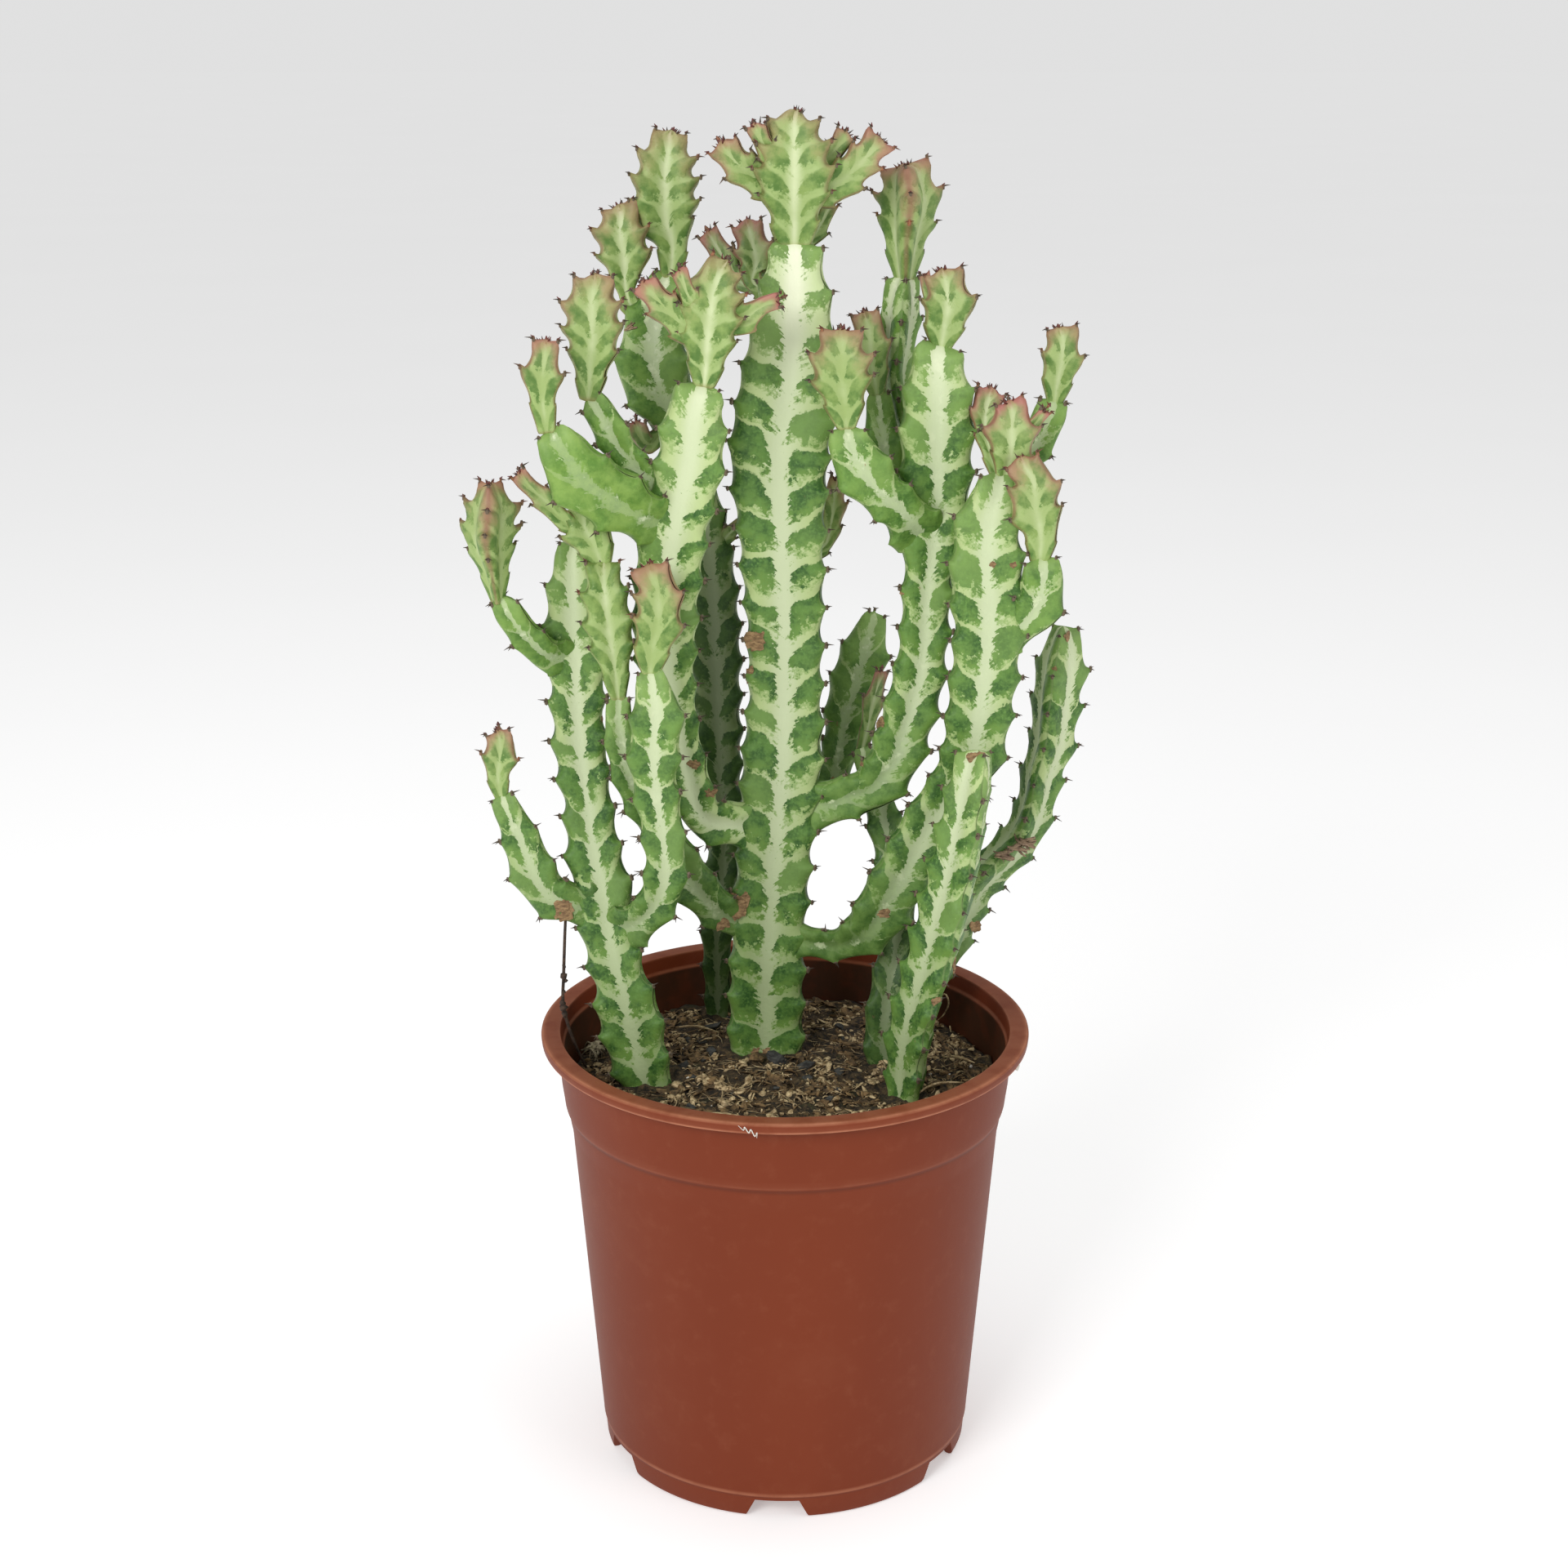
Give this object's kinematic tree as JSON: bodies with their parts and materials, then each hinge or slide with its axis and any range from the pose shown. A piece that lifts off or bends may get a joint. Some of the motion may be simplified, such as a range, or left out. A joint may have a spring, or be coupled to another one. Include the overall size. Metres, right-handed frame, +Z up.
{
  "type": "potted euphorbia",
  "caption": "Upright branching euphorbia with marbled three-ribbed stems and short spines, growing in a round brown plastic nursery pot filled with soil.",
  "frame": {"origin": "on the pot's axis, at the level the pot's feet stand on", "axes": "+Z up along the pot's axis, -Y towards the side the picture shows, +X to that side's right"},
  "size_m": [0.2126, 0.17, 0.4662],
  "materials": {
    "pot_plastic": "satin brown injection-moulded plastic, lightly scuffed",
    "soil": "moist peat with bark, husks and a little perlite",
    "stem_skin": "waxy green succulent skin marbled with pale cream green",
    "young_growth": "yellow-green young skin flushed pink-brown along the ribs",
    "spine": "hard dark brown spine with a pale foot",
    "dry_matter": "dry tan and brown husk, bark, scar and root",
    "perlite": "matt white mineral grain"
  },
  "bodies": {
    "root": {"pot": "pot_plastic", "soil": "soil", "stem_centre": "stem_skin", "stem_left": "stem_skin", "stem_front_right": "stem_skin", "stem_back_left": "stem_skin", "stem_back_right": "stem_skin"}
  },
  "joints": []
}
